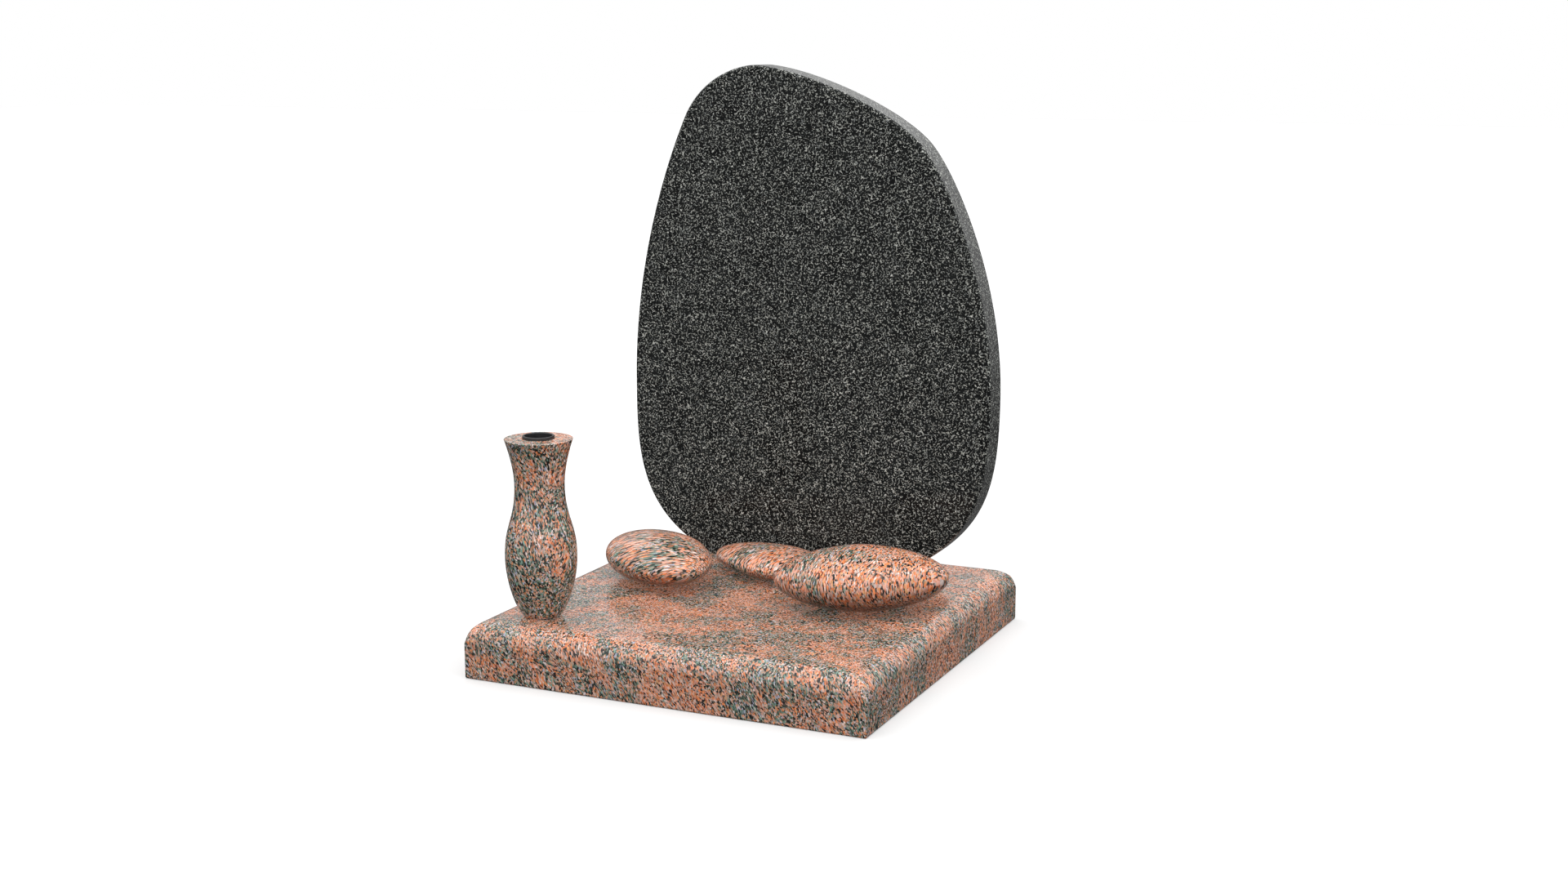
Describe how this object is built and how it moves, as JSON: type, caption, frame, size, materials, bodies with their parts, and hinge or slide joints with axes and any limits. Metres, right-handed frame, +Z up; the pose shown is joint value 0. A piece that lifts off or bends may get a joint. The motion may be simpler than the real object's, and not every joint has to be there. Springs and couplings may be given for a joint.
{
  "type": "grave monument",
  "caption": "Square granite slab with rounded top edges that carries an upright egg-shaped headstone, a turned vase with a liner and polished lens-shaped pebbles.",
  "frame": {"origin": "on the ground, under the middle of the square slab", "axes": "+Z up; -Y towards the front, where a visitor stands; +X to the visitor's right"},
  "size_m": [0.6, 0.6, 0.8306],
  "materials": {
    "slab_granite": "polished multicolour red granite",
    "headstone_granite": "polished dark speckled granite",
    "vase_granite": "polished multicolour red granite",
    "liner_plastic": "plain dark grey",
    "pebble_left_granite": "polished multicolour red granite",
    "pebble_middle_granite": "polished multicolour red granite",
    "pebble_right_granite": "polished multicolour red granite"
  },
  "bodies": {
    "root": {"base_slab": "slab_granite", "headstone": "headstone_granite", "vase": "vase_granite", "vase_liner": "liner_plastic", "pebble_left": "pebble_left_granite", "pebble_middle": "pebble_middle_granite", "pebble_right": "pebble_right_granite"}
  },
  "joints": []
}
